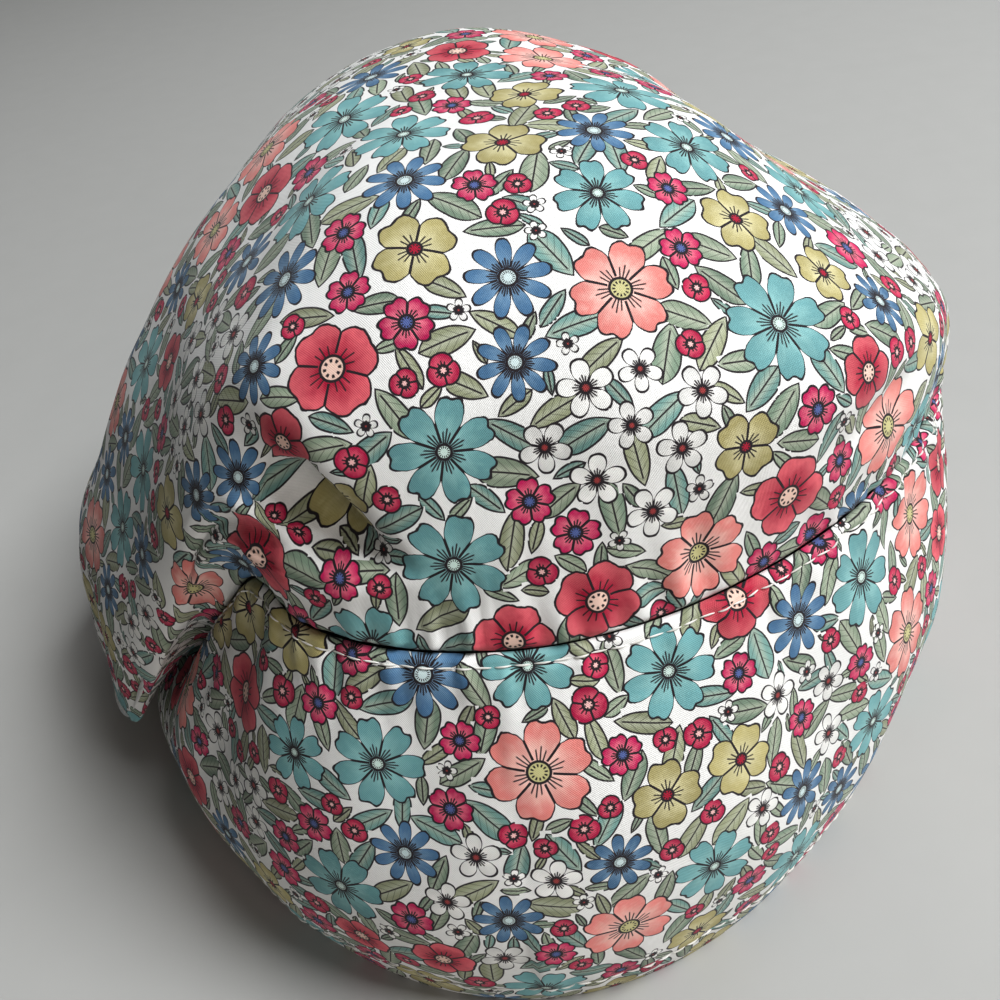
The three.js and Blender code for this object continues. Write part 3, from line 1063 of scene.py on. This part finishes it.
    def weld(self) -> tuple[Array, list, list, Array]:
        """Join the outer face, the inner face and the edges between them.

        Returns:
            All points, the faces as tuples of point numbers, each face's flat corners, and a 1 for each face
            that shows the cloth's wrong side.
        """
        raise NotImplementedError

    def net(self, columns: int, rows: int, start: int, flip: bool) -> Array:
        """Point numbers of the four corners of each facet of a closed grid whose first point is start."""
        i, j = np.meshgrid(np.arange(columns), np.arange(rows - 1), indexing="ij")
        nxt = (i + 1) % columns
        quad = np.stack([i * rows + j, nxt * rows + j, nxt * rows + j + 1, i * rows + j + 1], -1).reshape(-1, 4)
        return (quad[:, ::-1] if flip else quad) + start

    @staticmethod
    def net_flat(flat: Array, flip: bool) -> Array:
        """Flat corners of each facet, in the order that net gives them."""
        corners = np.stack([flat[:-1, :-1], flat[1:, :-1], flat[1:, 1:], flat[:-1, 1:]], axis=2)
        corners = corners.reshape(-1, 4, 2)
        return corners[:, ::-1] if flip else corners

    def edge_strip(self, row: int, inner_row: int, start: int, up: bool) -> tuple[list, list]:
        """Faces that close the cloth's edge between an outer row and an inner row with half the columns.

        Args:
            row: Row of the outer face.
            inner_row: Row of the inner face.
            start: Number of the inner face's first point.
            up: Whether the edge is the cloth's upper one.

        Returns:
            The faces and their flat corners.
        """
        rows, inner_rows = self.outer.shape[1], self.inner.shape[1]
        faces, flats = [], []
        for k in range(self.inner_columns):
            a, b, c = 2 * k, 2 * k + 1, (2 * k + 2) % self.columns
            inner, inner_next = start + k * inner_rows + inner_row, \
                start + (k + 1) % self.inner_columns * inner_rows + inner_row
            ring = [c * rows + row, b * rows + row, a * rows + row, inner, inner_next]
            flat = self.flat[[2 * k + 2, 2 * k + 1, 2 * k, 2 * k, 2 * k + 2], row]
            faces.append(tuple(ring[::-1] if up else ring))
            flats.append(flat[::-1] if up else flat)
        return faces, flats


@dataclass
class Crown(Cloth):
    """The slouching upper cloth, closed at the top and open at the seam.

    Its inner face has fewer rows, so behind folds sharper than fold_bend it lies up to fold_room deeper, from
    the climb fold_climb on; a fold would else poke through it.
    """

    name: str = "crown_cloth"
    node: str = "crown"
    slot: str = "crown_cloth"
    creases: tuple[Crease, ...] = CROWN_CREASES
    fine_creases: tuple[Crease, ...] = CROWN_FINE_CREASES
    puckers: tuple[Ripple, ...] = (Ripple((5.0, 13.0), 13, 21, 0.85, 0.25, 9.0),
                                   Ripple((3.4, 6.0), 9, 22, 0.65, 0.10, 3.4))
    waves: tuple[Ripple, ...] = (Ripple((34.0, 80.0), 12, 5, 0.75), Ripple((14.0, 26.0), 14, 8, 0.10))
    rows: int = 150
    fine_rows: tuple[float, ...] = (0.003, 0.007, 0.012, 0.018, 0.026)
    calm: float = 18.0
    ditch_depth: float = 0.9
    ditch_width: float = 0.8
    allowance: float = 0.5
    allowance_width: float = 5.0
    fold_bend: float = 0.10
    fold_gain: float = 8.0
    fold_room: float = 2.0
    fold_climb: float = 0.10

    def main_form(self, degrees: Array, climb: Array) -> Array:
        """The crown's sections."""
        return self.form.crown(degrees, climb)

    def flatten(self, points: Array, degrees: Array) -> Array:
        """The crown laid out as a disc: each point at its own angle, as far out as the cloth is long."""
        reach = run_length(points[:, ::-1], 1)[:, ::-1]
        angle = np.radians(degrees)
        flat = np.stack([reach * np.sin(angle), -reach * np.cos(angle)], -1)
        self.seam_run = run_length(points, 1)
        return np.concatenate([flat, flat[:1]])

    def relief(self, degrees: Array) -> Array:
        """Seam ditch, puckers that die out above it, and soft waves over the whole crown."""
        down = self.seam_run
        around = degrees * self.form.degree_span
        pucker = sum(ripple.over(around, down, down) for ripple in self.puckers)
        waves = sum(ripple.over(self.flat[:-1, :, 0], self.flat[:-1, :, 1]) for ripple in self.waves)
        return (pucker * (1 - np.exp(-down / self.pucker_start)) + waves * (1 - np.exp(-down / self.calm))
                - self.ditch_depth * bell(down, self.ditch_width))

    def thickness(self) -> Array:
        """One layer of cloth, and the turned allowance close to the seam."""
        return self.wall + self.allowance * bell(self.seam_run, self.allowance_width, 4)

    def weld(self) -> tuple[Array, list, list, Array]:
        """Outer face, inner face with every third row, the two caps at the apex and the seam edge."""
        rows = self.outer.shape[1]
        keep = np.unique(np.concatenate([[0, 3], np.arange(5, rows - 1, 3), [rows - 2, rows - 1]]))
        deeper = np.clip((sharpness(self.outer, 4)[::2] - self.fold_bend) * self.fold_gain, 0, self.fold_room)
        deeper *= np.clip((self.climbs - self.fold_climb) * 20, 0, 1)
        self.inner = (self.inner - across(self.plain)[::2] * deeper[..., None])[:, keep]
        inner_rows = len(keep)
        start = self.columns * rows
        apex_out = self.outer[:, -1].mean(axis=0)
        apex_in = apex_out - np.array([0.0, 0.0, self.wall])
        self.outer[:, -1] = apex_out
        points = np.concatenate([self.outer.reshape(-1, 3), self.inner.reshape(-1, 3), [apex_out, apex_in]])
        top, top_in = len(points) - 2, len(points) - 1
        outer_net = self.net(self.columns, rows, 0, False).reshape(self.columns, rows - 1, 4)
        inner_net = self.net(self.inner_columns, inner_rows, start, True)
        inner_net = inner_net.reshape(self.inner_columns, inner_rows - 1, 4)
        flat_out = self.net_flat(self.flat, False).reshape(self.columns, rows - 1, 4, 2)
        half_flat = np.concatenate([self.flat[:-1][::2], self.flat[:1]])[:, keep]
        flat_in = self.net_flat(half_flat, True).reshape(self.inner_columns, inner_rows - 1, 4, 2)
        faces = [tuple(q) for q in outer_net[:, :-1].reshape(-1, 4).tolist()]
        flats = list(flat_out[:, :-1].reshape(-1, 4, 2))
        faces += [(q[0], q[1], top) for q in outer_net[:, -1].tolist()]
        flats += [f[:3] for f in flat_out[:, -1]]
        wrong = [0] * len(faces)
        faces += [tuple(q) for q in inner_net[:, :-1].reshape(-1, 4).tolist()]
        flats += list(flat_in[:, :-1].reshape(-1, 4, 2))
        faces += [(top_in, q[2], q[3]) for q in inner_net[:, -1].tolist()]
        flats += [f[1:] for f in flat_in[:, -1]]
        wrong += [1] * (len(faces) - len(wrong))
        edge, edge_flat = self.edge_strip(0, 0, start, False)
        faces += edge
        flats += edge_flat
        wrong += [0] * len(edge)
        return self.compact(points, faces, flats, wrong)

    @staticmethod
    def compact(points: Array, faces: list, flats: list, wrong: list) -> tuple[Array, list, list, Array]:
        """Drop the points that no face uses."""
        used = np.unique(np.concatenate([np.array(face) for face in faces]))
        number = np.full(len(points), -1)
        number[used] = np.arange(len(used))
        faces = [tuple(number[list(face)].tolist()) for face in faces]
        return points[used], faces, flats, np.array(wrong)


@dataclass
class Band(Cloth):
    """The deep cloth round the head, with its raw edge turned up inside as a hem.

    hem_height and hem_extra are the hem's height and added thickness, stitch_drop how far the topstitching
    lies below the seam and hem_stitch_height how far the hem's stitching lies above the rim. The fields whose
    names end in edge are how softly a layer ends.
    """

    name: str = "band_cloth"
    node: str = "band"
    slot: str = "band_cloth"
    creases: tuple[Crease, ...] = BAND_CREASES
    fine_creases: tuple[Crease, ...] = BAND_FINE_CREASES
    puckers: tuple[Ripple, ...] = (Ripple((4.5, 12.0), 13, 33, 0.80, 0.25, 6.5),
                                   Ripple((3.4, 6.0), 9, 34, 0.62, 0.10, 3.6))
    waves: tuple[Ripple, ...] = (Ripple((34.0, 80.0), 12, 6, 0.65), Ripple((14.0, 26.0), 14, 9, 0.10))
    hem_pucker: Ripple = Ripple((7.0, 14.0), 8, 35, 0.16, 0.3)
    rows: int = 62
    fine_rows: tuple[float, ...] = (*(1 - drop / 74.0 for drop in (0.4, 0.9, 1.5, 2.1, 2.7, 3.3, 4.0)),
                                    0.004, 0.010, 0.130, 0.136, 0.142)
    calm: float = 12.0
    rim_calm: float = 8.0
    ditch_depth: float = 0.6
    ditch_width: float = 0.6
    ridge_height: float = 0.65
    ridge_width: float = 7.5
    ridge_start: float = 0.8
    stitch_drop: float = 2.1
    stitch_dip: float = 0.46
    stitch_dip_width: float = 0.55
    hem_height: float = 12.0
    hem_extra: float = 1.0
    hem_edge: float = 0.15
    hem_stitch_height: float = 10.0
    hem_dip: float = 0.22
    hem_dip_width: float = 0.8
    hem_pucker_height: float = 9.0
    hem_pucker_width: float = 6.0
    allowance: float = 0.6
    allowance_height: float = 8.0
    allowance_edge: float = 0.2

    def main_form(self, degrees: Array, climb: Array) -> Array:
        """The band's sections."""
        return self.form.band(degrees, climb)

    def flatten(self, points: Array, degrees: Array) -> Array:
        """The band laid out as a strip: along by the length round its middle, up by the cloth's length."""
        ring = np.concatenate([points, points[:1]])
        middle = ring[:, points.shape[1] // 2][:, None]
        along = run_length(middle, 0)[:, 0]
        self.wrap = float(along[-1])
        up = run_length(ring, 1)
        self.seam_run = (up[:, -1:] - up)[:-1]
        self.rim_run = up[:-1]
        return np.stack([np.broadcast_to(along[:, None], up.shape), up], -1)

    def relief(self, degrees: Array) -> Array:
        """Seam ditch, the allowance's ridge with its stitched dip, puckers, the hem's dip and soft waves."""
        down, up = self.seam_run, self.rim_run
        u, v = self.flat[:-1, :, 0], self.flat[:-1, :, 1]
        ditch = -self.ditch_depth * bell(down, self.ditch_width)
        ridge = self.ridge_height * bell(down, self.ridge_width, 4) * (1 - bell(down, self.ridge_start))
        dip = -self.stitch_dip * bell(down - self.stitch_drop, self.stitch_dip_width)
        pucker = sum(ripple.over(u, v, down) for ripple in self.puckers) * (1 - np.exp(-down / self.pucker_start))
        hem = -self.hem_dip * bell(up - self.hem_stitch_height, self.hem_dip_width)
        hem_pucker = self.hem_pucker.over(u, v) * bell(up - self.hem_pucker_height, self.hem_pucker_width)
        waves = sum(ripple.over(u, v) for ripple in self.waves)
        calm = (1 - np.exp(-down / self.calm)) * (1 - np.exp(-up / self.rim_calm))
        return ditch + ridge + dip + pucker + hem + hem_pucker + waves * calm

    def thickness(self) -> Array:
        """One layer, and the extra layers of the hem and of the seam's allowance."""
        hem = self.hem_extra / (1 + np.exp((self.rim_run - self.hem_height) / self.hem_edge))
        allowance = self.allowance / (1 + np.exp((self.seam_run - self.allowance_height) / self.allowance_edge))
        return self.wall + hem + allowance

    def weld(self) -> tuple[Array, list, list, Array]:
        """Outer face, inner face, the seam edge above and the hem's fold below."""
        rows = self.outer.shape[1]
        start = self.columns * rows
        self.outer[:, 0, 2] = 0.0
        self.inner[:, 0, 2] = 0.0
        points = np.concatenate([self.outer.reshape(-1, 3), self.inner.reshape(-1, 3)])
        half_flat = np.concatenate([self.flat[:-1][::2], self.flat[-1:]])
        faces = [tuple(q) for q in self.net(self.columns, rows, 0, False).tolist()]
        flats = list(self.net_flat(self.flat, False))
        wrong = [0] * len(faces)
        inner = [tuple(q) for q in self.net(self.inner_columns, rows, start, True).tolist()]
        faces += inner
        flats += list(self.net_flat(half_flat, True))
        # The hem is the cloth turned up, so its right side shows inside.
        inside = (self.rim_run[::2, :-1] >= self.hem_height).astype(float)
        wrong += inside.ravel().tolist()
        for row, up in ((0, False), (rows - 1, True)):
            edge, edge_flat = self.edge_strip(row, row, start, up)
            faces += edge
            flats += edge_flat
            wrong += [0] * len(edge)
        return points, faces, flats, np.array(wrong)


@dataclass
class StitchRow:
    """A row of lockstitches that lies on the band at one distance from its seam or rim."""

    name: str
    pitch: float = 3.1
    length: float = 2.6
    thickness: float = 0.36
    rings: int = 6
    sides: int = 6
    lift: float = 0.16

    def build(self, line: Array, normal: Array, shift: Array, material: bpy.types.Material,
              slot: str) -> bpy.types.Object:
        """Lay the stitches along a closed line on the cloth.

        Formula: each stitch is a round rod whose radius swells as the root of a half sine and whose middle
        stands above the cloth as a half sine.

        Args:
            line: Points of the line, shape (n, 3), in millimetres.
            normal: Outward directions along it.
            shift: From the cap's own middle to the frame's.
            material: The thread.
            slot: Not used.

        Returns:
            The stitches as one object.
        """
        closed = np.concatenate([line, line[:1]])
        facing = np.concatenate([normal, normal[:1]])
        run = run_length(closed, 0)
        count = int(run[-1] / self.pitch)
        step = run[-1] / count
        t = np.linspace(0, 1, self.rings)
        along = (np.arange(count)[:, None] * step + t[None] * self.length * step / self.pitch)
        spot = np.stack([np.interp(along, run, closed[:, k]) for k in range(3)], -1)
        up = np.stack([np.interp(along, run, facing[:, k]) for k in range(3)], -1)
        up /= np.linalg.norm(up, axis=-1, keepdims=True)
        ahead = np.gradient(spot, axis=1)
        ahead /= np.linalg.norm(ahead, axis=-1, keepdims=True)
        side = np.cross(up, ahead)
        swell = np.sqrt(np.sin(np.pi * (0.04 + 0.92 * t)))[None, :, None]
        rise = (self.lift * np.sin(np.pi * t) + 0.02)[None, :, None]
        angle = np.arange(self.sides) * math.tau / self.sides
        around = (side[:, :, None] * np.cos(angle)[None, None, :, None]
                  + up[:, :, None] * np.sin(angle)[None, None, :, None])
        points = (spot + up * rise)[:, :, None] + around * swell[..., None] * self.thickness / 2
        k, j, i = np.meshgrid(np.arange(count), np.arange(self.rings - 1), np.arange(self.sides), indexing="ij")
        base = (k * self.rings + j) * self.sides
        nxt = (i + 1) % self.sides
        quads = np.stack([base + i, base + self.sides + i, base + self.sides + nxt, base + nxt], -1)
        ends = np.arange(count)[:, None] * self.rings * self.sides
        first = ends + np.arange(self.sides)[None]
        last = ends + (self.rings - 1) * self.sides + np.arange(self.sides)[None, ::-1]
        faces = quads.reshape(-1, 4).tolist() + first.tolist() + last.tolist()
        mesh = bpy.data.meshes.new(self.name)
        mesh.from_pydata((points.reshape(-1, 3) + shift) * MM, [], faces)
        mesh.polygons.foreach_set("use_smooth", np.ones(len(faces), bool))
        mesh.update()
        mesh.materials.append(material)
        piece = bpy.data.objects.new(self.name, mesh)
        bpy.context.scene.collection.objects.link(piece)
        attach(piece, "root")
        LOG.info("%s: %d stitches", self.name, count)
        return piece


@dataclass
class Stitching:
    """The topstitching below the seam and the row that holds the hem."""

    band: Band
    thread: bpy.types.Material

    def row_at(self, distance: float, from_seam: bool) -> tuple[Array, Array]:
        """The line on the band at a distance from its seam or its rim, read between the rows of its grid."""
        run = self.band.seam_run if from_seam else self.band.rim_run
        order = slice(None, None, -1) if from_seam else slice(None)
        line = np.array([[np.interp(distance, r[order], p[order, k]) for k in range(3)]
                         for r, p in zip(run, self.band.outer)])
        normal = np.array([[np.interp(distance, r[order], p[order, k]) for k in range(3)]
                           for r, p in zip(run, self.band.normal)])
        return line, normal

    def build(self, shift: Array) -> None:
        """Sew both rows."""
        for name, distance, from_seam in (("seam_topstitch", self.band.stitch_drop, True),
                                          ("hem_stitch", self.band.hem_stitch_height, False)):
            StitchRow(name).build(*self.row_at(distance, from_seam), shift, self.thread, self.band.slot)


@dataclass(frozen=True)
class Lamp:
    """A soft area light, placed by its angles round the cap."""

    name: str
    azimuth: float
    elevation: float
    distance: float
    size: float
    power: float
    colour: Colour

    def build(self, aim: Vector) -> None:
        """Hang the light so that it faces the cap."""
        data = bpy.data.lights.new(self.name, "AREA")
        data.energy = self.power
        data.size = self.size
        data.color = self.colour
        lamp = bpy.data.objects.new(self.name, data)
        lamp.location = aim + heading(self.azimuth, self.elevation) * self.distance
        lamp.rotation_euler = (aim - lamp.location).to_track_quat("-Z", "Y").to_euler()
        bpy.context.scene.collection.objects.link(lamp)


def heading(azimuth: float, elevation: float) -> Vector:
    """Unit vector towards an azimuth, 0 at the front and 90 at +X, and an elevation, in degrees."""
    a, e = math.radians(azimuth), math.radians(elevation)
    return Vector((math.sin(a) * math.cos(e), -math.cos(a) * math.cos(e), math.sin(e)))


@dataclass
class Studio:
    """A pale floor, soft lights, and the camera at the photograph's angle."""

    azimuth: float = 4.5
    elevation: float = 39.5
    roll: float = -9.2
    distance: float = 0.236
    view_angle: float = 53.6
    aim: tuple[float, float, float] = (-1.5, 0.0, 44.0)
    contrast: str = "Medium High Contrast"
    room_colour: Colour = (0.80, 0.82, 0.85)
    room_light: float = 0.035
    floor_half: float = 4.0
    lamps: tuple[Lamp, ...] = (
        Lamp("window", 78.0, 56.0, 2.0, 0.80, 41.0, (0.95, 0.98, 1.0)),
        Lamp("overhead", 150.0, 62.0, 2.2, 1.2, 9.0, (0.98, 0.99, 1.0)),
        Lamp("fill", 30.0, 22.0, 2.0, 1.0, 9.5, (1.0, 0.95, 0.90)),
    )

    def build(self, shift: Array) -> None:
        """Set up the floor, the lights and the camera.

        Args:
            shift: From the cap's own middle to the frame's, in millimetres.
        """
        aim = Vector((np.array(self.aim) + shift) * MM)
        bpy.context.scene.view_settings.view_transform = "Standard"
        bpy.context.scene.view_settings.look = self.contrast
        self.floor()
        for lamp in self.lamps:
            lamp.build(aim)
        world = bpy.data.worlds.new("room")
        world.use_nodes = True
        background = world.node_tree.nodes["Background"].inputs
        background["Color"].default_value = (*self.room_colour, 1.0)
        background["Strength"].default_value = self.room_light
        bpy.context.scene.world = world
        back = heading(self.azimuth, self.elevation)
        right = (-back).cross(Vector((0, 0, 1))).normalized()
        up = right.cross(-back)
        tilt = math.radians(self.roll)
        turned_right = right * math.cos(tilt) + up * math.sin(tilt)
        turned_up = up * math.cos(tilt) - right * math.sin(tilt)
        data = bpy.data.cameras.new("view")
        data.sensor_width = 36.0
        data.lens = data.sensor_width / 2 / math.tan(math.radians(self.view_angle) / 2)
        data.clip_start = 0.01
        camera = bpy.data.objects.new("view", data)
        place = Matrix((turned_right, turned_up, back)).transposed().to_4x4()
        camera.matrix_world = Matrix.Translation(aim + back * self.distance) @ place
        bpy.context.scene.collection.objects.link(camera)
        bpy.context.scene.camera = camera

    def floor(self) -> None:
        """Lay a wide pale matt floor at the rim's level."""
        half = self.floor_half
        mesh = bpy.data.meshes.new("floor")
        mesh.from_pydata([(-half, -half, 0), (half, -half, 0), (half, half, 0), (-half, half, 0)], [], [(0, 1, 2, 3)])
        mesh.materials.append(MattFloor().build("floor"))
        floor = bpy.data.objects.new("floor", mesh)
        bpy.context.scene.collection.objects.link(floor)


def frame_shift(band: Band) -> Array:
    """Step from the cap's own middle to the frame's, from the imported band's box, in millimetres."""
    low, high = (np.array(corner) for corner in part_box("band"))
    own = (band.pressed.min(axis=(0, 1)) + band.pressed.max(axis=(0, 1))) / 2
    step = (low + high) / 2 / MM - own
    return np.array([step[0], step[1], 0.0])


def main() -> None:
    """Build the studio, both cloths and the stitching, in that order."""
    logging.basicConfig(level=logging.INFO, format="%(name)s: %(message)s")
    form = CapForm()
    band = Band(form)
    crown = Crown(form)
    shift = frame_shift(band)
    LOG.info("shift %s mm", np.round(shift, 3).tolist())
    Studio().build(shift)
    cotton = PrintedCotton().build("printed_cotton")
    crown.build(shift, cotton, seed=11)
    band.build(shift, cotton, seed=6)
    Stitching(band, CottonThread().build("sewing_thread")).build(shift)


if __name__ == "__main__":
    main()
